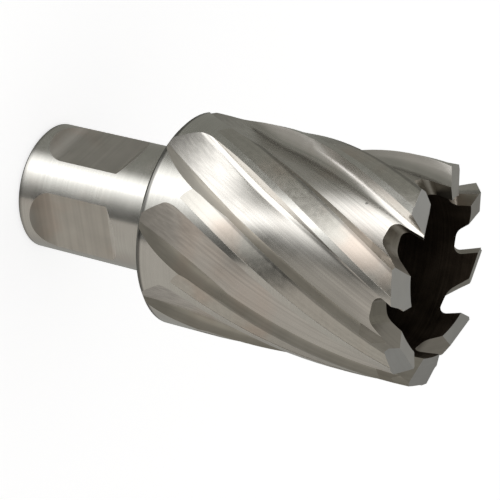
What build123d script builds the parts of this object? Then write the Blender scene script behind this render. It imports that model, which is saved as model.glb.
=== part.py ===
from build123d import *
import math
import os

# Annular cutter, one solid of tool steel. Millimetres and degrees.
# The shank's end face stands on Z 0 and the teeth point up. Seen along +Z it cuts clockwise.

# Turned blank
shank_diameter = 19.05
shank_length = 24.6
shank_end_chamfer = 0.45
body_diameter = 31.75
body_back_chamfer = 0.5
bore_diameter = 23.0
bore_floor_height = 35.6
pin_hole_diameter = 6.5
pin_hole_mouth_diameter = 8.0
blank_spare = 2.0
cutter_spare = 1.5

# Set-screw flats, one facing +X and one facing +Y
flat_depth = 1.255
flat_floor_start = 5.8
flat_floor_end = 15.5
flat_ramp_radius = 6.0
flat_ramp_length = 1.7

# Teeth. Corner height is the outer front corner of a low tooth above the shank's end face.
tooth_count = 8
corner_height = 64.25
first_tooth_angle = 26.3
helix_lead = 177.5

# Flutes, ground by a wheel that climbs out of the body near its back
flute_wall_depth = 2.73
flute_wall_lean = 12.0
flute_corner_radius = 0.8
flute_corner_steps = 4
flute_floor_width = 5.15
flute_floor_rise = 5.7
flute_heel_slope = 37.4
flute_wheel_radius = 76.0
flute_wheel_stop = 41.6

# Lands: a round margin beside the cutting edge and a relieved strip behind it
margin_width = 0.94
relief_depth = 0.13
relief_width = 3.0
relief_wheel_radius = 35.0
relief_wheel_stop = 31.6

# Gullets between the teeth
gullet_rake_angle = 17.7
gullet_front = 0.634
gullet_depth = 2.65
gullet_front_radius = 1.0
gullet_back_start = 3.55
gullet_back_radius = 2.2
gullet_back_slope = 45.0
gullet_fall = 28.8

# End faces of the teeth. Low teeth have one slope, high teeth have a roof with a ridge.
end_cut_back = 6.5
end_cut_front = 4.5
end_relief_slope = 0.2
low_tooth_slope = 0.2
high_tooth_ridge_height = 1.4
high_tooth_ridge_radius = 13.734
high_tooth_ridge_front = 1.347
high_tooth_ridge_skew = 0.0727
high_tooth_outer_slope = 0.6765
high_tooth_inner_slope = 0.3
high_tooth_relief_slope = 0.212

# Derived sizes
shank_radius = shank_diameter / 2
body_radius = body_diameter / 2
bore_radius = bore_diameter / 2
pin_hole_radius = pin_hole_diameter / 2
pin_hole_mouth_radius = pin_hole_mouth_diameter / 2
pitch_angle = 360 / tooth_count
highest_point = corner_height + high_tooth_ridge_height
blank_height = highest_point + blank_spare
twist_per_mm = 360 / helix_lead
helix_angle = math.degrees(math.atan(2 * math.pi * body_radius / helix_lead))


def tooth_angle(index):
    return first_tooth_angle + index * pitch_angle


def turned_blank():
    # Half section from the pin hole outwards
    outline = Polyline(
        (pin_hole_mouth_radius, 0),
        (shank_radius - shank_end_chamfer, 0),
        (shank_radius, shank_end_chamfer),
        (shank_radius, shank_length),
        (body_radius - body_back_chamfer, shank_length),
        (body_radius, shank_length + body_back_chamfer),
        (body_radius, blank_height),
        (bore_radius, blank_height),
        (bore_radius, bore_floor_height),
        (pin_hole_radius, bore_floor_height),
        (pin_hole_radius, pin_hole_mouth_radius - pin_hole_radius),
        close=True,
    )
    half_section = Plane.XZ * make_face(outline)
    return revolve(half_section, Axis.Z)


def set_screw_flat():
    # Curved ramp, floor and straight ramp, seen from the side and cut straight across
    floor = shank_radius - flat_depth
    outside = shank_radius + cutter_spare
    reach = outside - floor
    curve_drop = math.sqrt(flat_ramp_radius**2 - (flat_ramp_radius - reach) ** 2)
    half_angle = math.asin(curve_drop / flat_ramp_radius) / 2
    middle_depth = flat_ramp_radius * (1 - math.cos(half_angle))
    middle_drop = flat_ramp_radius * math.sin(half_angle)
    ramp_end = flat_floor_end + flat_ramp_length * reach / flat_depth
    curve = ThreePointArc(
        (outside, flat_floor_start - curve_drop),
        (floor + middle_depth, flat_floor_start - middle_drop),
        (floor, flat_floor_start),
    )
    straight = Polyline(
        (floor, flat_floor_start),
        (floor, flat_floor_end),
        (outside, ramp_end),
        (outside, flat_floor_start - curve_drop),
    )
    profile = Plane.XZ * make_face(curve + straight)
    return extrude(profile, shank_radius, both=True)


def wheel_plane(stop_height):
    # Square to the helix where the wheel stops. Local X is outward, local Y is ahead of the edge.
    lean = math.radians(helix_angle)
    travel = (0, math.sin(lean), math.cos(lean))
    return Plane(origin=(0, 0, stop_height), x_dir=(1, 0, 0), z_dir=travel)


def ground_groove(profile, stop_height, depth, wheel_radius):
    # The groove follows the helix upwards and leaves the body downwards on the wheel's curve
    plane = wheel_plane(stop_height)
    start = plane * profile
    rise = blank_height + body_radius - stop_height
    path = Edge.make_helix(helix_lead, rise, body_radius, center=(0, 0, stop_height))
    climbing = Solid.sweep(start.face(), path, is_frenet=True)
    wheel_centre = plane.from_local_coords((body_radius - depth + wheel_radius, 0, 0))
    wheel_axis = Axis(wheel_centre, -plane.y_dir)
    clear_angle = math.degrees(math.acos(1 - (depth + 2 * cutter_spare) / wheel_radius))
    leaving = revolve(start, wheel_axis, clear_angle)
    turn = (stop_height - corner_height) * twist_per_mm
    return Rot(0, 0, turn) * (climbing + leaving)


def flute_profile():
    # Wall, rounded corner, floor and heel facet, open to the outside
    wall_lean = math.radians(flute_wall_lean)
    floor_rise = math.radians(flute_floor_rise)
    outside = body_radius + cutter_spare
    bottom = body_radius - flute_wall_depth
    corner = (bottom, flute_wall_depth * math.tan(wall_lean))
    heel = (bottom + flute_floor_width * math.tan(floor_rise), corner[1] + flute_floor_width)
    heel_run = (outside - heel[0]) / math.tan(math.radians(flute_heel_slope))
    # The corner's arc touches wall and floor, and is stepped off in short straight lengths
    turn = math.pi / 2 - wall_lean + floor_rise
    touch = flute_corner_radius * math.tan(turn / 2)
    wall_touch = (corner[0] + touch * math.cos(wall_lean), corner[1] - touch * math.sin(wall_lean))
    centre_x = wall_touch[0] + flute_corner_radius * math.sin(wall_lean)
    centre_y = wall_touch[1] + flute_corner_radius * math.cos(wall_lean)
    rounded = []
    for step in range(flute_corner_steps + 1):
        angle = wall_lean + turn * step / flute_corner_steps
        across = centre_x - flute_corner_radius * math.sin(angle)
        ahead = centre_y - flute_corner_radius * math.cos(angle)
        rounded.append((across, ahead))
    outer_wall = (outside, (body_radius - outside) * math.tan(wall_lean))
    outline = Polyline(outer_wall, *rounded, heel, (outside, heel[1] + heel_run), close=True)
    return make_face(outline)


def relief_profile():
    # A shallow strip behind the margin, following the round of the body as one straight line
    near = -margin_width
    far = -margin_width - relief_width
    lean = math.cos(math.radians(helix_angle))
    near_surface = math.sqrt(body_radius**2 - (near * lean) ** 2)
    far_surface = math.sqrt(body_radius**2 - (far * lean) ** 2)
    outside = body_radius + cutter_spare
    outline = Polyline(
        (outside, near),
        (near_surface - relief_depth, near),
        (far_surface - relief_depth, far),
        (outside, far),
        close=True,
    )
    return make_face(outline)


def gullet():
    # Rake face, round root and back slope, carried outwards and down through the wall
    rake = math.tan(math.radians(gullet_rake_angle))
    back = math.tan(math.radians(gullet_back_slope))
    fall = math.tan(math.radians(gullet_fall))
    inner_reach = bore_radius - cutter_spare
    outer_reach = body_radius + cutter_spare
    root = corner_height - gullet_depth + (bore_radius - inner_reach) * fall
    height = blank_height - root + (outer_reach - inner_reach) * fall
    root_front = gullet_front - gullet_depth * rake
    outline = Polyline(
        (root_front + height * rake, height),
        (root_front, 0),
        (gullet_back_start, 0),
        (gullet_back_start + height / back, height),
        close=True,
    )
    face = make_face(outline)
    face = fillet(face.vertices().sort_by(Axis.Y)[:2].sort_by(Axis.X)[0], gullet_front_radius)
    face = fillet(face.vertices().sort_by_distance((gullet_back_start, 0, 0))[0], gullet_back_radius)
    inner_plane = Plane(origin=(inner_reach, 0, root), x_dir=(0, 1, 0), z_dir=(1, 0, 0))
    length = (outer_reach - inner_reach) / math.cos(math.radians(gullet_fall))
    return extrude(inner_plane * face, length, dir=(1, 0, -fall))


def end_cut(outline, direction):
    # Everything above a tooth's end face, swept from behind the tooth to ahead of it
    start = Vector(*direction) * -end_cut_back
    length = (end_cut_back + end_cut_front) * Vector(*direction).length
    return extrude(Pos(start) * (Plane.XZ * make_face(outline)), length, dir=direction)


def low_tooth_end():
    inner = bore_radius - cutter_spare
    outer = body_radius + cutter_spare
    inner_height = corner_height + (body_radius - inner) * low_tooth_slope
    outer_height = corner_height + (body_radius - outer) * low_tooth_slope
    ceiling = blank_height + blank_spare
    outline = Polyline(
        (inner, inner_height),
        (outer, outer_height),
        (outer, ceiling),
        (inner, ceiling),
        close=True,
    )
    return end_cut(outline, (0, 1, end_relief_slope))


def high_tooth_end():
    # The ridge is measured at the tooth's front, so it's moved back to the middle plane first
    inner = bore_radius - cutter_spare
    outer = body_radius + cutter_spare
    ridge_radius = high_tooth_ridge_radius - high_tooth_ridge_front * high_tooth_ridge_skew
    ridge_height = highest_point - high_tooth_ridge_front * high_tooth_relief_slope
    ceiling = blank_height + blank_spare
    outline = Polyline(
        (inner, ridge_height - (ridge_radius - inner) * high_tooth_inner_slope),
        (ridge_radius, ridge_height),
        (outer, ridge_height - (outer - ridge_radius) * high_tooth_outer_slope),
        (outer, ceiling),
        (inner, ceiling),
        close=True,
    )
    return end_cut(outline, (high_tooth_ridge_skew, 1, high_tooth_relief_slope))


flute = ground_groove(flute_profile(), flute_wheel_stop, flute_wall_depth, flute_wheel_radius)
relief = ground_groove(relief_profile(), relief_wheel_stop, relief_depth, relief_wheel_radius)

annular_cutter = turned_blank()
annular_cutter -= set_screw_flat()
annular_cutter -= Rot(0, 0, 90) * set_screw_flat()
for cut in (flute, relief):
    for tooth in range(tooth_count):
        annular_cutter -= Rot(0, 0, tooth_angle(tooth)) * cut
for tooth in range(0, tooth_count, 2):
    annular_cutter -= Rot(0, 0, tooth_angle(tooth)) * high_tooth_end()
for tooth in range(1, tooth_count, 2):
    annular_cutter -= Rot(0, 0, tooth_angle(tooth)) * low_tooth_end()
for tooth in range(tooth_count):
    annular_cutter -= Rot(0, 0, tooth_angle(tooth)) * gullet()

os.makedirs("parts", exist_ok=True)
export_step(annular_cutter.solid(), "parts/annular_cutter.step")
print("volume", annular_cutter.volume, "solids", len(annular_cutter.solids()))
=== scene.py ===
import math
import bmesh
import bpy
from mathutils import Matrix, Vector


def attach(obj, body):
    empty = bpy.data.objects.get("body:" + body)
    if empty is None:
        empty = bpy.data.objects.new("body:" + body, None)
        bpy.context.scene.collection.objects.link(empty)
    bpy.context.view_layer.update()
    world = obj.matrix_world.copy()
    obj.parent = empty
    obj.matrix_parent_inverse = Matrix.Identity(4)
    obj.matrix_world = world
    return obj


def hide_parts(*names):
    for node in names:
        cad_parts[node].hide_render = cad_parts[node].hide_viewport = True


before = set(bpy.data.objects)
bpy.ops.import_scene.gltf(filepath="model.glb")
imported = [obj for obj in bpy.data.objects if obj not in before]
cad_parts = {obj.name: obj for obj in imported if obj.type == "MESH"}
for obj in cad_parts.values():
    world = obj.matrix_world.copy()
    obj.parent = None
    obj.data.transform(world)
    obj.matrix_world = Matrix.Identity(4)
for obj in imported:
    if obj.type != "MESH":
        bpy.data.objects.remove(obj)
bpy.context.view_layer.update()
print("frame loaded")

# The cutter's own sizes, in millimetres and degrees, as the solid has them
cutter = {
    "node": "annular_cutter",
    "shankRadius": 9.525,
    "shankLength": 24.6,
    "bodyRadius": 15.875,
    "boreRadius": 11.5,
    "boreFloor": 35.6,
    "cornerHeight": 64.25,
    "height": 65.6,
    "helixLead": 177.5,
    "toothCount": 8,
    "firstTooth": 26.3,
    "gulletFall": 28.8,
}

# How the faces are told apart: places and gaps in millimetres, and least cosines between directions
telling = {
    "gap": 0.02,
    "endBand": 0.6,  # holds the chamfers at the shank's end and the body's back
    "pinHoleReach": 4.1,
    "gulletStart": 58.5,
    "gulletBeside": 0.85,
    "gulletSlip": 0.03,  # the most that a gullet's face may turn off its falling line
    "toothEndStart": 62.6,
    "toothEndUp": 0.75,
    "facetDepth": 0.2,
    "roundFacing": 0.99,
    "grooveFacing": 0.85,
    "stepDepth": 0.3,
    "heelFacing": 0.6,
}

# How the copy is shaded: angles in degrees, lengths in millimetres, and least cosines
shading = {
    "mergeDistance": 0.001,
    "softAngle": 24.0,
    "blend": 14.0,  # over which the wheel's curve turns into the helix
    "boreFacing": 0.9,
    "nearFlat": 0.8,  # between a shaded normal and the face's own
}

# A groove's section, square to the helix: how far out from the axis, and how far ahead of the edge.
# The flute has a wall, a round corner, a floor and a heel. The relief is one strip behind the edge.
# The hollows and the clearance only turn the normals. A gap is how far a face may lie off the section.
fluteGroove = {
    "depth": 2.73,
    "wallLean": 12.0,
    "cornerRadius": 0.8,
    "floorWidth": 5.15,
    "floorRise": 5.7,
    "heelSlope": 37.4,
    "wallHollow": 28.0,
    "floorHollow": 4.0,
    "wheelRadius": 76.0,
    "wheelStop": 41.6,
    "topGap": 0.3,
    "wallGap": 0.05,
    "cornerGap": 0.08,
    "floorGap": 0.06,
    "heelGap": 0.2,
    "joinGap": 0.01,
    "heelJoinGap": 0.005,
}
reliefGroove = {
    "depth": 0.13,
    "slope": 6.75,
    "clearance": 7.0,
    "start": -0.94,
    "end": -4.5,
    "wheelRadius": 35.0,
    "wheelStop": 31.6,
    "gap": 0.08,
    "startGap": 0.05,
}

# A point's height on the helix is found in a few steps, each a share of the way
helixSteps = 6
helixStepShare = 0.8

helixAngle = math.atan(math.tau * cutter["bodyRadius"] / cutter["helixLead"])
millimetre = 0.001


def toothAngle(tooth):
    return math.radians(cutter["firstTooth"] + tooth * 360 / cutter["toothCount"])


def aroundAxis(angle):
    # Outward and ahead at an angle round the axis
    outward = Vector((math.cos(angle), math.sin(angle), 0))
    return outward, Vector((-outward.y, outward.x, 0))


def wheelFrame(height, tooth):
    # The groove's section for an edge point at that height: its middle, outward, ahead and travel
    twist = (height - cutter["cornerHeight"]) * math.tau / cutter["helixLead"]
    outward, level = aroundAxis(toothAngle(tooth) + twist)
    up = Vector((0, 0, 1))
    travel = level * math.sin(helixAngle) + up * math.cos(helixAngle)
    ahead = level * math.cos(helixAngle) - up * math.sin(helixAngle)
    return up * height, outward, ahead, travel


def alongHelix(point, tooth, groove):
    # The point's place in the climbing groove's section, the directions there and the way it runs.
    # All grooves climb alike, so the groove isn't needed here, but both ways are called alike.
    height = point.z
    for _ in range(helixSteps):
        middle, _, _, travel = wheelFrame(height, tooth)
        height += (point - middle).dot(travel) / math.cos(helixAngle) * helixStepShare
    middle, outward, ahead, _ = wheelFrame(height, tooth)
    speed = Vector((-point.y, point.x, cutter["helixLead"] / math.tau)).normalized()
    return (point - middle).dot(outward), (point - middle).dot(ahead), outward, ahead, speed


def alongWheel(point, tooth, groove):
    # The same where the groove leaves the body on the wheel's curve
    middle, outward, ahead, _ = wheelFrame(groove["wheelStop"], tooth)
    out = cutter["bodyRadius"] - groove["depth"] + groove["wheelRadius"]
    centre = middle + outward * out
    arm = centre - point
    along = -arm.dot(ahead)
    arm -= ahead * arm.dot(ahead)
    inward = arm.normalized()
    return out - arm.length, along, inward, ahead, inward.cross(ahead)


def pastWheelStop(point, tooth, groove):
    # How far the point is above the section where the wheel stops
    middle, _, _, travel = wheelFrame(groove["wheelStop"], tooth)
    return (point - middle).dot(travel)


def inGroove(point, tooth, groove):
    climbing = pastWheelStop(point, tooth, groove) > 0
    return (alongHelix if climbing else alongWheel)(point, tooth, groove)


def fluteSection():
    # Where the flute's wall ends, its corner turns, its floor starts and its heel starts
    g = fluteGroove
    lean, rise = math.radians(g["wallLean"]), math.radians(g["floorRise"])
    bottom = cutter["bodyRadius"] - g["depth"]
    start = g["depth"] * math.tan(lean)
    touch = g["cornerRadius"] * math.tan((math.pi / 2 - lean + rise) / 2)
    wallEnd = (bottom + touch * math.cos(lean), start - touch * math.sin(lean))
    centreOut = wallEnd[0] + g["cornerRadius"] * math.sin(lean)
    centreAlong = wallEnd[1] + g["cornerRadius"] * math.cos(lean)
    return {
        "bottom": bottom,
        "start": start,
        "wallEnd": wallEnd,
        "centre": (centreOut, centreAlong),
        "floorStart": start + touch * math.cos(rise),
        "heel": (bottom + g["floorWidth"] * math.tan(rise), start + g["floorWidth"]),
    }


section = fluteSection()


def flutePart(out, along):
    # The wall, corner, floor or heel that a section point is on, or nothing
    g = fluteGroove
    lean, rise, slope = (math.radians(g[key]) for key in ("wallLean", "floorRise", "heelSlope"))
    if out > cutter["bodyRadius"] + g["topGap"] or along < -g["wallGap"]:
        return None
    onWall = abs(along - (cutter["bodyRadius"] - out) * math.tan(lean)) < g["wallGap"]
    if out > section["wallEnd"][0] - g["joinGap"] and onWall:
        return "fluteWall"
    if along < section["floorStart"] - g["joinGap"]:
        reach = math.hypot(section["centre"][0] - out, section["centre"][1] - along)
        return "fluteCorner" if abs(reach - g["cornerRadius"]) < g["cornerGap"] else None
    if along < section["heel"][1] + g["heelJoinGap"]:
        level = section["bottom"] + (along - section["start"]) * math.tan(rise)
        return "fluteFloor" if abs(out - level) < g["floorGap"] else None
    level = section["heel"][0] + (along - section["heel"][1]) * math.tan(slope)
    return "heel" if abs(out - level) < g["heelGap"] else None


def reliefPart(out, along):
    # The relief strip, or nothing
    g = reliefGroove
    slope = math.tan(math.radians(g["slope"]))
    level = cutter["bodyRadius"] - g["depth"] + (along - g["start"]) * slope
    within = g["end"] < along < g["start"] + g["startGap"]
    return "relief" if abs(out - level) < g["gap"] and within else None


def held(share):
    # Kept from 0 to 1
    return min(max(share, 0), 1)


def sectionNormal(part, out, along):
    # Outward and ahead shares of the normal. The wall turns towards its foot, and the corner takes
    # it on from there to the floor.
    g = fluteGroove
    lean, rise, slope = (math.radians(g[key]) for key in ("wallLean", "floorRise", "heelSlope"))
    wallHollow, floorHollow = math.radians(g["wallHollow"]), math.radians(g["floorHollow"])
    if part == "fluteWall":
        share = (cutter["bodyRadius"] - out) / (cutter["bodyRadius"] - section["wallEnd"][0])
        lean += wallHollow * held(share) ** 2
        return math.sin(lean), math.cos(lean)
    if part == "fluteCorner":
        turn = math.atan2(section["centre"][1] - along, section["centre"][0] - out)
        share = (turn + rise) / (math.pi / 2 - lean + rise)
        first = floorHollow / 2 - rise
        last = math.pi / 2 - lean - wallHollow
        turn = first + (last - first) * held(share)
        return math.cos(turn), math.sin(turn)
    if part == "fluteFloor":
        share = (along - section["floorStart"]) / (section["heel"][1] - section["floorStart"])
        tilt = floorHollow * (0.5 - held(share)) - rise
        return math.cos(tilt), math.sin(tilt)
    if part == "relief":
        slope = math.radians(reliefGroove["slope"])
    return math.cos(slope), -math.sin(slope)


def grooveNormal(part, tooth, point):
    # The wheel's curve and the helix meet in a faint crease, which is smoothed away
    groove = reliefGroove if part == "relief" else fluteGroove
    share = held(pastWheelStop(point, tooth, groove) / shading["blend"] + 0.5)
    share = share * share * (3 - 2 * share)
    facing = Vector((0, 0, 0))
    for weight, follow in ((share, alongHelix), (1 - share, alongWheel)):
        if weight > 0:
            out, along, outward, ahead, speed = follow(point, tooth, groove)
            shares = sectionNormal(part, out, along)
            normal = outward * shares[0] + ahead * shares[1]
            facing += (normal - speed * normal.dot(speed)).normalized() * weight
    if part == "relief":
        facing.rotate(Matrix.Rotation(-math.radians(groove["clearance"]), 3, "Z"))
    return facing.normalized()


def groovePart(point, normal):
    # The finish and the tooth of the groove that a face of the lands and flutes belongs to
    best, nearest = None, telling["grooveFacing"]
    for tooth in range(cutter["toothCount"]):
        for groove, partAt in ((fluteGroove, flutePart), (reliefGroove, reliefPart)):
            part = partAt(*inGroove(point, tooth, groove)[:2])
            if part:
                match = grooveNormal(part, tooth, point).dot(normal)
                if match > nearest:
                    best, nearest = (part, tooth), match
    return best


def outwardAt(point):
    return Vector((point.x, point.y, 0)).normalized()


def onRadius(face, radius):
    # Whether the face is a facet of the round surface with that radius
    centre = face.calc_center_median() / millimetre
    fits = all(abs(v.co.xy.length / millimetre - radius) < telling["gap"] for v in face.verts)
    facing = abs(face.normal.dot(outwardAt(centre))) > telling["roundFacing"]
    return fits and facing and centre.xy.length > radius - telling["facetDepth"]


def gulletFace(face, centre):
    # A gullet's faces all run along the same falling line through the wall, beside its own tooth
    fall = math.radians(cutter["gulletFall"])
    for tooth in range(cutter["toothCount"]):
        outward, _ = aroundAxis(toothAngle(tooth))
        run = outward * math.cos(fall) - Vector((0, 0, math.sin(fall)))
        beside = outward.dot(outwardAt(centre)) > telling["gulletBeside"]
        if beside and abs(run.dot(face.normal)) < telling["gulletSlip"]:
            return True
    return False


def finishOf(face):
    # Names the finish that a face of the cutter has, from where it lies and looks
    centre = face.calc_center_median() / millimetre
    low = min(v.co.z for v in face.verts) / millimetre
    high = max(v.co.z for v in face.verts) / millimetre
    if onRadius(face, cutter["shankRadius"]):
        return "shank"
    if centre.xy.length < telling["pinHoleReach"] or onRadius(face, cutter["boreRadius"]):
        return "bore"
    if abs(centre.z - cutter["boreFloor"]) < telling["gap"]:
        return "bore"
    if high < telling["endBand"]:
        return "backEnd"
    if high < cutter["shankLength"] - telling["gap"]:
        return "flats"
    if high < cutter["shankLength"] + telling["endBand"]:
        return "backEnd"
    if onRadius(face, cutter["bodyRadius"]):
        return "margin"
    if low > telling["toothEndStart"] and face.normal.z > telling["toothEndUp"]:
        return "toothEnd"
    if high > telling["gulletStart"] and gulletFace(face, centre):
        return "gullet"
    return "groove"


def leftOver(face, centre):
    # The small faces that lie on no groove's section
    if centre.xy.length > cutter["bodyRadius"] - telling["stepDepth"]:
        return "step"
    return "heel" if face.normal.dot(outwardAt(centre)) > telling["heelFacing"] else "gullet"


def shadedNormal(finish, tooth, point, flat):
    # Round and ground surfaces are shaded smooth, so their coarse facets don't show
    place = point / millimetre
    outward = outwardAt(place)
    if finish in ("shank", "margin"):
        return outward
    if finish == "step":
        return (outward + flat).normalized()
    if finish == "bore" and flat.dot(outward) < -shading["boreFacing"]:
        return -outward
    if tooth is not None:
        facing = grooveNormal(finish, tooth, place)
        return facing if facing.dot(flat) > shading["nearFlat"] else flat
    return flat


# Finishes. Grain is the way the grinding lines run: round the axis, along the helix, across a flat,
# or round a ring. Lines and blotch say how much each shades the colour, warmth how much of the warm
# tint it takes, and depth how deep the lines are, in metres.
finishes = {
    "shank": {
        "colour": (0.61, 0.60, 0.57), "roughness": 0.19, "anisotropy": 0.6, "grain": "round",
        "lines": 0.10, "blotch": 0.08, "warmth": 0.10, "depth": 0.0000012,
    },
    # Painted shade: the back end, its chamfers and the shank's end are near black, standing in for the
    # dark reflections along those edges
    "backEnd": {
        "colour": (0.10, 0.10, 0.09), "roughness": 0.40, "anisotropy": 0.4, "grain": "ring",
        "lines": 0.10, "blotch": 0.10, "warmth": 0.10, "depth": 0.000001,
    },
    "flats": {
        "colour": (0.53, 0.505, 0.465), "roughness": 0.42, "anisotropy": 0.4, "grain": "across",
        "lines": 0.20, "blotch": 0.14, "warmth": 0.4, "depth": 0.000002,
    },
    "margin": {
        "colour": (0.62, 0.61, 0.58), "roughness": 0.18, "anisotropy": 0.6, "grain": "round",
        "lines": 0.10, "blotch": 0.08, "warmth": 0.10, "depth": 0.0000012,
    },
    "relief": {
        "colour": (0.56, 0.54, 0.50), "roughness": 0.24, "anisotropy": 0.3, "grain": "helix",
        "lines": 0.16, "blotch": 0.13, "blotchScale": 1300, "warmth": 0.5, "depth": 0.000002,
    },
    # Painted highlight: the narrow step beside the margin is lighter than the other steel, so that the
    # margin's edge shows as a bright line
    "step": {
        "colour": (0.85, 0.83, 0.80), "roughness": 0.40, "anisotropy": 0.2, "grain": "helix",
        "lines": 0.10, "blotch": 0.10, "warmth": 0.10, "depth": 0.000001,
    },
    "fluteFloor": {
        "colour": (0.61, 0.59, 0.56), "roughness": 0.22, "anisotropy": 0.5, "grain": "helix",
        "lines": 0.32, "blotch": 0.10, "warmth": 0.25, "depth": 0.000002,
    },
    "fluteWall": {
        "colour": (0.60, 0.58, 0.55), "roughness": 0.22, "anisotropy": 0.6, "grain": "helix",
        "lines": 0.15, "blotch": 0.08, "warmth": 0.2, "depth": 0.000002,
    },
    "fluteCorner": {
        "colour": (0.60, 0.58, 0.55), "roughness": 0.22, "anisotropy": 0.6, "grain": "helix",
        "lines": 0.15, "blotch": 0.08, "warmth": 0.2, "depth": 0.000002,
    },
    "heel": {
        "colour": (0.49, 0.465, 0.42), "roughness": 0.30, "anisotropy": 0.5, "grain": "helix",
        "lines": 0.22, "blotch": 0.14, "warmth": 0.35, "depth": 0.000002,
    },
    "gullet": {
        "colour": (0.37, 0.345, 0.305), "roughness": 0.36, "anisotropy": 0.3, "grain": "ring",
        "lines": 0.18, "blotch": 0.18, "warmth": 0.3, "depth": 0.000002,
    },
    "toothEnd": {
        "colour": (0.58, 0.575, 0.565), "roughness": 0.42, "anisotropy": 0.2, "grain": "ring",
        "lines": 0.06, "blotch": 0.10, "warmth": 0.05, "depth": 0.0000015,
    },
    "bore": {
        "colour": (0.14, 0.11, 0.085), "roughness": 0.42, "anisotropy": 0.3, "grain": "round",
        "lines": 0.6, "blotch": 0.3, "warmth": 0.2, "depth": 0.000003,
    },
}

# Painted shade along the axis, as heights in metres with the share of the colour kept there: a dark
# band beside the back chamfer and darker shank ends stand in for dark reflections at those edges, and
# the flute floors and heels near the body's back and the flats over their curved ramp are painted
# darker to dim their reflections
paintedShades = {
    "margin": ((0.0251, 0.30), (0.0254, 0.34), (0.0256, 1.0)),
    "shank": ((0.0, 0.55), (0.0006, 0.6), (0.001, 1.0), (0.0241, 1.0), (0.0246, 0.55)),
    "fluteFloor": ((0.0255, 0.82), (0.028, 0.95), (0.031, 1.0)),
    "heel": ((0.026, 0.85), (0.033, 1.0)),
    "flats": ((0.0025, 0.8), (0.0052, 0.88), (0.0062, 1.0)),
}

# Dark spots: place and reach in metres, and the share of the colour kept at the middle. The flutes
# have three small pits painted as dark spots, painted shade in them, and a large and a faint darker
# patch. One of the two flats is painted darker, painted shade.
darkSpots = {
    "fluteFloor": (
        ((0.01260, 0.00427, 0.04982), 0.00040, 0.30),
        ((0.01260, 0.00426, 0.05588), 0.00034, 0.40),
        ((0.00312, 0.01293, 0.05412), 0.00034, 0.40),
        ((0.00608, 0.01316, 0.02586), 0.0075, 0.72),
        ((0.00188, 0.01317, 0.05628), 0.0040, 0.93),
    ),
    "flats": (((0.0083, 0.0, 0.0105), 0.012, 0.78),),
}
darkSpotCore = 0.35  # the share of a spot's reach that is darkest

# How fine the lines of each grain are, in repeats for each metre along the pattern's three ways
grain = {
    "round": (50, 50, 3800),
    "helix": (2200, 2200, 30),
    "ring": (90, 3000, 90),
    "across": (25, 25, 1500),
}
lineDetail = 4.0

# Blotches and warm patches: repeats for each metre, detail, and where a patch starts and is full
patches = {
    "blotch": 330,
    "blotchDetail": 3.0,
    "tint": 120,
    "tintDetail": 2.0,
    "warmRange": (0.5, 0.72),
    "warmColour": (0.60, 0.47, 0.39),
}

# Painted light and shade: the heel goes from a lighter colour at its foot to a darker one between two
# radii in metres, and the relief is painted darker near the end of each tooth's pitch
paintedLightAndShade = {
    "heelRim": (0.0143, 0.0152),
    "heelShade": (1.3, 0.88),
    "backEdge": (0.675, 0.70),
    "backEdgeShade": 0.6,
}


def link(tree, source, target):
    tree.links.new(source, target)


def calculated(tree, operation, *values):
    node = tree.nodes.new("ShaderNodeMath")
    node.operation = operation
    for socket, value in zip(node.inputs, values):
        if isinstance(value, (int, float)):
            socket.default_value = value
        else:
            link(tree, value, socket)
    return node.outputs[0]


def between(tree, source, low, high):
    # 0 at low, 1 at high, smooth between them
    node = tree.nodes.new("ShaderNodeMapRange")
    node.interpolation_type = "SMOOTHSTEP"
    node.inputs["From Min"].default_value = low
    node.inputs["From Max"].default_value = high
    link(tree, source, node.inputs["Value"])
    return node.outputs[0]


def noise(tree, vector, scale, detail):
    node = tree.nodes.new("ShaderNodeTexNoise")
    node.inputs["Scale"].default_value = scale
    node.inputs["Detail"].default_value = detail
    link(tree, vector, node.inputs["Vector"])
    return node.outputs[0]


def straightened(tree, place):
    # The place with the helix turned straight and unrolled, so that a pattern follows the flutes:
    # the way round, the radius and the height. The seam lies on a tooth's edge.
    split = tree.nodes.new("ShaderNodeSeparateXYZ")
    link(tree, place, split.inputs[0])
    flat = tree.nodes.new("ShaderNodeVectorMath")
    flat.operation = "MULTIPLY"
    flat.inputs[1].default_value = (1, 1, 0)
    link(tree, place, flat.inputs[0])
    reach = tree.nodes.new("ShaderNodeVectorMath")
    reach.operation = "LENGTH"
    link(tree, flat.outputs[0], reach.inputs[0])
    turn = tree.nodes.new("ShaderNodeVectorRotate")
    turn.rotation_type = "Z_AXIS"
    link(tree, place, turn.inputs["Vector"])
    twist = -math.tau / (cutter["helixLead"] * millimetre)
    cornerTwist = twist * cutter["cornerHeight"] * millimetre
    edge = math.radians(cutter["firstTooth"]) + cornerTwist
    angle = calculated(tree, "MULTIPLY_ADD", split.outputs["Z"], twist, -edge)
    link(tree, angle, turn.inputs["Angle"])
    turned = tree.nodes.new("ShaderNodeSeparateXYZ")
    link(tree, turn.outputs[0], turned.inputs[0])
    around = calculated(tree, "ARCTAN2", turned.outputs["Y"], turned.outputs["X"])
    wayRound = calculated(tree, "MULTIPLY", around, cutter["bodyRadius"] * millimetre)
    unrolled = tree.nodes.new("ShaderNodeCombineXYZ")
    link(tree, wayRound, unrolled.inputs["X"])
    link(tree, reach.outputs["Value"], unrolled.inputs["Y"])
    link(tree, split.outputs["Z"], unrolled.inputs["Z"])
    return unrolled.outputs[0]


def grainLines(tree, place, way):
    source = straightened(tree, place) if way in ("helix", "ring") else place
    stretch = tree.nodes.new("ShaderNodeMapping")
    stretch.vector_type = "POINT"
    stretch.inputs["Scale"].default_value = grain[way]
    link(tree, source, stretch.inputs["Vector"])
    return noise(tree, stretch.outputs[0], 1.0, lineDetail)


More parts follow.
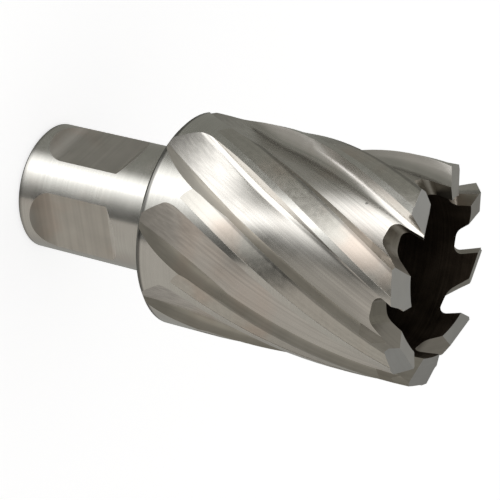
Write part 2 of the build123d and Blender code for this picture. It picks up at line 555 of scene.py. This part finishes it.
def grainTangent(tree, place, way):
    # Highlights spread square to the lines: along the axis, or across the flute
    if way != "helix":
        upright = tree.nodes.new("ShaderNodeCombineXYZ")
        upright.inputs["Z"].default_value = 1
        return upright.outputs[0]
    turn = tree.nodes.new("ShaderNodeVectorMath")
    turn.operation = "CROSS_PRODUCT"
    turn.inputs[0].default_value = (0, 0, math.tau / (cutter["helixLead"] * millimetre))
    link(tree, place, turn.inputs[1])
    along = tree.nodes.new("ShaderNodeVectorMath")
    along.operation = "ADD"
    along.inputs[1].default_value = (0, 0, 1)
    link(tree, turn.outputs[0], along.inputs[0])
    geometry = tree.nodes.new("ShaderNodeNewGeometry")
    across = tree.nodes.new("ShaderNodeVectorMath")
    across.operation = "CROSS_PRODUCT"
    link(tree, along.outputs[0], across.inputs[0])
    link(tree, geometry.outputs["Normal"], across.inputs[1])
    unit = tree.nodes.new("ShaderNodeVectorMath")
    unit.operation = "NORMALIZE"
    link(tree, across.outputs[0], unit.inputs[0])
    return unit.outputs[0]


def ramped(tree, stops, source, low=-180, high=180, dark=0, bright=1):
    # A ramp through the stops, each a place between low and high with a colour or a value. Values
    # come out as shares of the way from dark to bright.
    share = tree.nodes.new("ShaderNodeMapRange")
    share.inputs["From Min"].default_value = low
    share.inputs["From Max"].default_value = high
    link(tree, source, share.inputs["Value"])
    ramp = tree.nodes.new("ShaderNodeValToRGB")
    link(tree, share.outputs[0], ramp.inputs[0])
    elements = ramp.color_ramp.elements
    elements.remove(elements[1])
    for number, (place, colour) in enumerate(stops):
        at = (place - low) / (high - low)
        stop = elements[0] if number == 0 else elements.new(at)
        stop.position = at
        if isinstance(colour, tuple):
            stop.color = (*colour, 1)
        else:
            shade = (colour - dark) / (bright - dark)
            stop.color = (shade, shade, shade, 1)
    return ramp.outputs["Color"]


def alongAxis(tree, place, stops):
    split = tree.nodes.new("ShaderNodeSeparateXYZ")
    link(tree, place, split.inputs[0])
    return ramped(tree, stops, split.outputs["Z"], 0, cutter["height"] * millimetre)


def awayFrom(tree, place, spot, reach, kept):
    # The share of the colour kept round a dark spot: less at its middle, all of it outside
    gap = tree.nodes.new("ShaderNodeVectorMath")
    gap.operation = "DISTANCE"
    gap.inputs[1].default_value = spot
    link(tree, place, gap.inputs[0])
    clear = between(tree, gap.outputs["Value"], reach * darkSpotCore, reach)
    return calculated(tree, "MULTIPLY_ADD", clear, 1 - kept, kept)


def towardsRim(tree, place):
    # Painted light and shade on the heel: lighter at its foot, darker towards the outside of the body
    split = tree.nodes.new("ShaderNodeSeparateXYZ")
    link(tree, straightened(tree, place), split.inputs[0])
    outer = between(tree, split.outputs["Y"], *paintedLightAndShade["heelRim"])
    inside, outside = paintedLightAndShade["heelShade"]
    return calculated(tree, "MULTIPLY_ADD", outer, outside - inside, inside)


def behindTheEdge(tree, place):
    # The relief is painted darker along its back edge, painted shade that narrows its bright strip.
    # Each tooth takes one pitch of the way round.
    split = tree.nodes.new("ShaderNodeSeparateXYZ")
    link(tree, straightened(tree, place), split.inputs[0])
    pitch = math.tau * cutter["bodyRadius"] * millimetre / cutter["toothCount"]
    share = calculated(tree, "FRACT", calculated(tree, "DIVIDE", split.outputs["X"], pitch))
    clear = between(tree, share, *paintedLightAndShade["backEdge"])
    backEdgeKept = paintedLightAndShade["backEdgeShade"]
    return calculated(tree, "MULTIPLY_ADD", clear, 1 - backEdgeKept, backEdgeKept)


# Painted light and shade for the heel and the relief's back edge
paintedAlongEdge = {"heel": towardsRim, "relief": behindTheEdge}


def steel(name, spec):
    material = bpy.data.materials.new(name)
    material.use_nodes = True
    tree = material.node_tree
    shader = tree.nodes["Principled BSDF"]
    shader.inputs["Metallic"].default_value = 1.0
    shader.inputs["Anisotropic"].default_value = spec["anisotropy"]
    place = tree.nodes.new("ShaderNodeTexCoord").outputs["Object"]
    lines = grainLines(tree, place, spec["grain"])
    blotchScale = spec.get("blotchScale", patches["blotch"])
    blotch = noise(tree, place, blotchScale, patches["blotchDetail"])
    # Shade: 1 on average, lighter and darker with the lines and the blotches
    lineShade = calculated(tree, "MULTIPLY_ADD", lines, 2 * spec["lines"], 1 - spec["lines"])
    blotchShade = calculated(tree, "MULTIPLY_ADD", blotch, 2 * spec["blotch"], -spec["blotch"])
    shade = calculated(tree, "ADD", lineShade, blotchShade)
    cloud = noise(tree, place, patches["tint"], patches["tintDetail"])
    warm = between(tree, cloud, *patches["warmRange"])
    level = spec["colour"][0] / patches["warmColour"][0]
    warmColour = (part * level for part in patches["warmColour"])
    tint = tree.nodes.new("ShaderNodeMix")
    tint.data_type = "RGBA"
    tint.inputs["A"].default_value = (*spec["colour"], 1)
    tint.inputs["B"].default_value = (*warmColour, 1)
    link(tree, calculated(tree, "MULTIPLY", warm, spec["warmth"]), tint.inputs["Factor"])
    # Dark spots: painted shade for the pits and one flat, and darker patches on the flute floors
    for spot, reach, kept in darkSpots.get(name, ()):
        shade = calculated(tree, "MULTIPLY", shade, awayFrom(tree, place, spot, reach, kept))
    # Painted light and shade along the heel and the relief's back edge
    if name in paintedAlongEdge:
        shade = calculated(tree, "MULTIPLY", shade, paintedAlongEdge[name](tree, place))
    # Painted shade along the axis, where the finish has it
    if name in paintedShades:
        shade = calculated(tree, "MULTIPLY", shade, alongAxis(tree, place, paintedShades[name]))
    shaded = tree.nodes.new("ShaderNodeVectorMath")
    shaded.operation = "SCALE"
    link(tree, tint.outputs["Result"], shaded.inputs[0])
    link(tree, shade, shaded.inputs["Scale"])
    link(tree, shaded.outputs[0], shader.inputs["Base Color"])
    smoothest = spec["roughness"] - spec["blotch"] / 2
    rough = calculated(tree, "MULTIPLY_ADD", blotch, spec["blotch"], smoothest)
    link(tree, rough, shader.inputs["Roughness"])
    bump = tree.nodes.new("ShaderNodeBump")
    bump.inputs["Strength"].default_value = 1.0
    bump.inputs["Distance"].default_value = spec["depth"]
    link(tree, lines, bump.inputs["Height"])
    link(tree, bump.outputs[0], shader.inputs["Normal"])
    link(tree, grainTangent(tree, place, spec["grain"]), shader.inputs["Tangent"])
    return material


def dressCutter():
    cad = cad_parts[cutter["node"]]
    bm = bmesh.new()
    bm.from_mesh(cad.data)
    mergeDistance = shading["mergeDistance"] * millimetre
    bmesh.ops.remove_doubles(bm, verts=bm.verts, dist=mergeDistance)
    bm.normal_update()
    names = list(finishes)
    softly = {names.index(name) for name in ("fluteWall", "fluteCorner", "fluteFloor")}
    teeth = []
    for face in bm.faces:
        finish, tooth = finishOf(face), None
        if finish == "groove":
            centre = face.calc_center_median() / millimetre
            finish, tooth = groovePart(centre, face.normal) or (leftOver(face, centre), None)
        face.material_index = names.index(finish)
        face.smooth = True
        teeth.append(tooth)
    for edge in bm.edges:
        slots = {face.material_index for face in edge.link_faces}
        soft = edge.calc_face_angle(0) < math.radians(shading["softAngle"])
        edge.smooth = soft and (len(slots) == 1 or slots <= softly)
    mesh = bpy.data.meshes.new("groundCutter")
    bm.to_mesh(mesh)
    bm.free()
    for name in names:
        mesh.materials.append(steel(name, finishes[name]))
    normals = []
    for polygon, tooth in zip(mesh.polygons, teeth):
        finish = names[polygon.material_index]
        for vertex in polygon.vertices:
            point = mesh.vertices[vertex].co
            normals.append(shadedNormal(finish, tooth, point, polygon.normal))
    mesh.normals_split_custom_set(normals)
    piece = bpy.data.objects.new("groundCutter", mesh)
    bpy.context.scene.collection.objects.link(piece)
    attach(piece, "root")
    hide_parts(cutter["node"])


dressCutter()
print("cutter dressed")

# Camera, at the place and turn from which the photo was taken, in degrees and metres
view = {
    "azimuth": 52.0,
    "distance": 0.242892,
    "height": 0.153172,
    "turn": 0.607,
    "pitch": -25.921,
    "roll": 103.740,
    "lens": 134.283,
    "sensor": 36.0,
    "clip": (0.01, 20),
}


def addCamera():
    turn, pitch, roll = (math.radians(view[key]) for key in ("turn", "pitch", "roll"))
    level = Vector((-math.cos(turn), math.sin(turn), 0))
    forward = level * math.cos(pitch) + Vector((0, 0, math.sin(pitch)))
    levelRight = forward.cross(Vector((0, 0, 1))).normalized()
    levelUp = levelRight.cross(forward)
    right = levelRight * math.cos(roll) + levelUp * math.sin(roll)
    up = levelUp * math.cos(roll) - levelRight * math.sin(roll)
    facing = Matrix((right, up, -forward)).transposed().to_4x4()
    place = Matrix.Translation((view["distance"], 0, view["height"]))
    around = Matrix.Rotation(math.radians(view["azimuth"]), 4, "Z")
    data = bpy.data.cameras.new("photoCamera")
    data.sensor_fit = "HORIZONTAL"
    data.sensor_width = view["sensor"]
    data.lens = view["lens"]
    data.clip_start, data.clip_end = view["clip"]
    camera = bpy.data.objects.new("photoCamera", data)
    camera.matrix_world = around @ place @ facing
    bpy.context.scene.collection.objects.link(camera)
    bpy.context.scene.camera = camera


addCamera()

# Studio. Directions are in degrees round the cutter from the camera's side, and up from level.
# The tall window leans, so the places where it starts and ends depend on the level. The far side of
# the room, the window's rise and its fall are counted from those places.
studio = {
    "floorSize": 3.0,
    "floorColour": (0.82, 0.82, 0.87),
    "floorRoughness": 0.9,
    "floorGlow": 0.715,
    "farSide": (
        (-180, (0.25, 0.25, 0.225)),
        (4, (0.25, 0.25, 0.225)),
        (13, (0.10, 0.10, 0.09)),
        (32, (0.07, 0.07, 0.065)),
        (180, (0.25, 0.25, 0.225)),
    ),
    "nearSide": (
        (-180, (0.34, 0.34, 0.33)),
        (-165, (0.27, 0.27, 0.25)),
        (-60, (0.30, 0.29, 0.26)),
        (0, (0.48, 0.46, 0.42)),
        (36, (0.52, 0.49, 0.45)),
        (90, (0.50, 0.48, 0.44)),
        (120, (0.42, 0.40, 0.37)),
        (140, (0.36, 0.35, 0.33)),
        (162, (0.34, 0.34, 0.32)),
        (174, (0.14, 0.14, 0.12)),
        (180, (0.14, 0.14, 0.12)),
    ),
    "nearSideStart": (33.0, 40.0),
    "ceiling": (
        (-90, (0.30, 0.30, 0.27)),
        (20, (0.30, 0.29, 0.26)),
        (40, (0.50, 0.50, 0.49)),
        (58, (0.34, 0.34, 0.31)),
        (90, (0.34, 0.34, 0.31)),
    ),
    "ceilingShade": (
        (-180, 1.0), (90, 1.0), (115, 0.75), (160, 0.62), (176, 0.9), (180, 1.0),
    ),
    "ceilingShare": (-5.0, 9.0),
    "ground": (0.44, 0.43, 0.40),
    "groundShare": (-50.0, -72.0),
    "windowStart": (
        (-90, 5), (-75, -12), (-60, 6), (-52, -22), (-32, -51), (-29, -50), (-26, -39),
        (-23, -38), (-19, -42), (-17, -88), (-9, -96), (0, -150), (90, -160),
    ),
    "windowEnd": (
        (-90, 60), (-75, 60), (-66, 112), (-57, 126), (-52, 60), (-36, 1), (-30, -1), (-24, -3),
        (-20, -8), (-17, -15), (-14, -27), (-11, -42), (-8, -53), (-5, -61), (-2, -80),
        (2, -106), (90, -110),
    ),
    "windowRise": (
        (-16, 0.0), (-8, 0.05), (-3, 0.25), (0, 0.40), (5, 0.65), (12, 0.90), (20, 1.0),
    ),
    "windowFall": (
        (-40, 1.0), (-17, 0.93), (-11, 0.55), (-3, 0.31), (5, 0.15), (13, 0.06), (21, 0.015),
        (29, 0.0),
    ),
    "windowStrength": (
        (-90, 0.1), (-76, 0.4), (-68, 1.0), (-50, 1.0), (-20, 1.0), (-11, 1.0),
        (-8, 0.8), (-5, 0.55), (-3, 0.35), (2, 0.3), (9, 0.0),
    ),
    "windowBrightness": 2.1,
}


def levelled(tree, stops, above):
    # An angle round the cutter that depends on the level
    share = ramped(tree, stops, above, -90, 90, -180, 180)
    return calculated(tree, "MULTIPLY_ADD", share, 360, -180)


def mixed(tree, factor, first, second):
    node = tree.nodes.new("ShaderNodeMix")
    node.data_type = "RGBA"
    link(tree, factor, node.inputs["Factor"])
    for socket, value in ((node.inputs["A"], first), (node.inputs["B"], second)):
        if isinstance(value, tuple):
            socket.default_value = (*value, 1)
        else:
            link(tree, value, socket)
    return node.outputs["Result"]


def addWorld():
    # A pale room with a tall window, which the cutter is lit by. The camera sees plain white.
    world = bpy.data.worlds.new("studioRoom")
    world.use_nodes = True
    tree = world.node_tree
    background = tree.nodes["Background"]
    place = tree.nodes.new("ShaderNodeTexCoord")
    turn = tree.nodes.new("ShaderNodeVectorRotate")
    turn.rotation_type = "Z_AXIS"
    turn.inputs["Angle"].default_value = -math.radians(view["azimuth"])
    link(tree, place.outputs["Generated"], turn.inputs["Vector"])
    split = tree.nodes.new("ShaderNodeSeparateXYZ")
    link(tree, turn.outputs[0], split.inputs[0])
    flat = calculated(tree, "ARCTAN2", split.outputs["Y"], split.outputs["X"])
    around = calculated(tree, "DEGREES", flat)
    above = calculated(tree, "DEGREES", calculated(tree, "ARCSINE", split.outputs["Z"]))
    pastStart = calculated(tree, "SUBTRACT", around, levelled(tree, studio["windowStart"], above))
    pastEnd = calculated(tree, "SUBTRACT", around, levelled(tree, studio["windowEnd"], above))
    near = ramped(tree, studio["nearSide"], around)
    far = ramped(tree, studio["farSide"], pastEnd)
    room = mixed(tree, between(tree, pastEnd, *studio["nearSideStart"]), far, near)
    overhead = tree.nodes.new("ShaderNodeVectorMath")
    overhead.operation = "MULTIPLY"
    link(tree, ramped(tree, studio["ceiling"], above, -90, 90), overhead.inputs[0])
    link(tree, ramped(tree, studio["ceilingShade"], around), overhead.inputs[1])
    ceiling = overhead.outputs[0]
    room = mixed(tree, between(tree, above, *studio["ceilingShare"]), room, ceiling)
    room = mixed(tree, between(tree, above, *studio["groundShare"]), room, studio["ground"])
    rise = ramped(tree, studio["windowRise"], pastStart)
    fall = ramped(tree, studio["windowFall"], pastEnd)
    strength = ramped(tree, studio["windowStrength"], above, -90, 90)
    window = calculated(tree, "MULTIPLY", calculated(tree, "MULTIPLY", rise, fall), strength)
    lit = calculated(tree, "MULTIPLY", window, studio["windowBrightness"])
    total = tree.nodes.new("ShaderNodeVectorMath")
    total.operation = "ADD"
    link(tree, room, total.inputs[0])
    link(tree, lit, total.inputs[1])
    link(tree, total.outputs[0], background.inputs["Color"])
    seen = tree.nodes.new("ShaderNodeBackground")
    paths = tree.nodes.new("ShaderNodeLightPath")
    choose = tree.nodes.new("ShaderNodeMixShader")
    link(tree, paths.outputs["Is Camera Ray"], choose.inputs[0])
    link(tree, background.outputs[0], choose.inputs[1])
    seen.inputs["Color"].default_value = (1, 1, 1, 1)
    link(tree, seen.outputs[0], choose.inputs[2])
    link(tree, choose.outputs[0], tree.nodes["World Output"].inputs["Surface"])
    bpy.context.scene.world = world


def addFloor():
    # A pale floor that glows for the camera only, just enough to be white outside the shadow
    bm = bmesh.new()
    bmesh.ops.create_grid(bm, x_segments=1, y_segments=1, size=studio["floorSize"] / 2)
    mesh = bpy.data.meshes.new("floor")
    bm.to_mesh(mesh)
    bm.free()
    material = bpy.data.materials.new("paleFloor")
    material.use_nodes = True
    tree = material.node_tree
    shader = tree.nodes["Principled BSDF"]
    shader.inputs["Base Color"].default_value = (*studio["floorColour"], 1)
    shader.inputs["Roughness"].default_value = studio["floorRoughness"]
    glow = tree.nodes.new("ShaderNodeEmission")
    paths = tree.nodes.new("ShaderNodeLightPath")
    seen = tree.nodes.new("ShaderNodeMath")
    seen.operation = "MULTIPLY"
    seen.inputs[1].default_value = studio["floorGlow"]
    link(tree, paths.outputs["Is Camera Ray"], seen.inputs[0])
    link(tree, seen.outputs[0], glow.inputs["Strength"])
    both = tree.nodes.new("ShaderNodeAddShader")
    link(tree, shader.outputs[0], both.inputs[0])
    link(tree, glow.outputs[0], both.inputs[1])
    link(tree, both.outputs[0], tree.nodes["Material Output"].inputs["Surface"])
    mesh.materials.append(material)
    floor = bpy.data.objects.new("floor", mesh)
    bpy.context.scene.collection.objects.link(floor)
    floor.visible_glossy = False
    floor.visible_shadow = False


addWorld()
addFloor()
bpy.context.scene.view_settings.view_transform = "Standard"
print("studio ready")
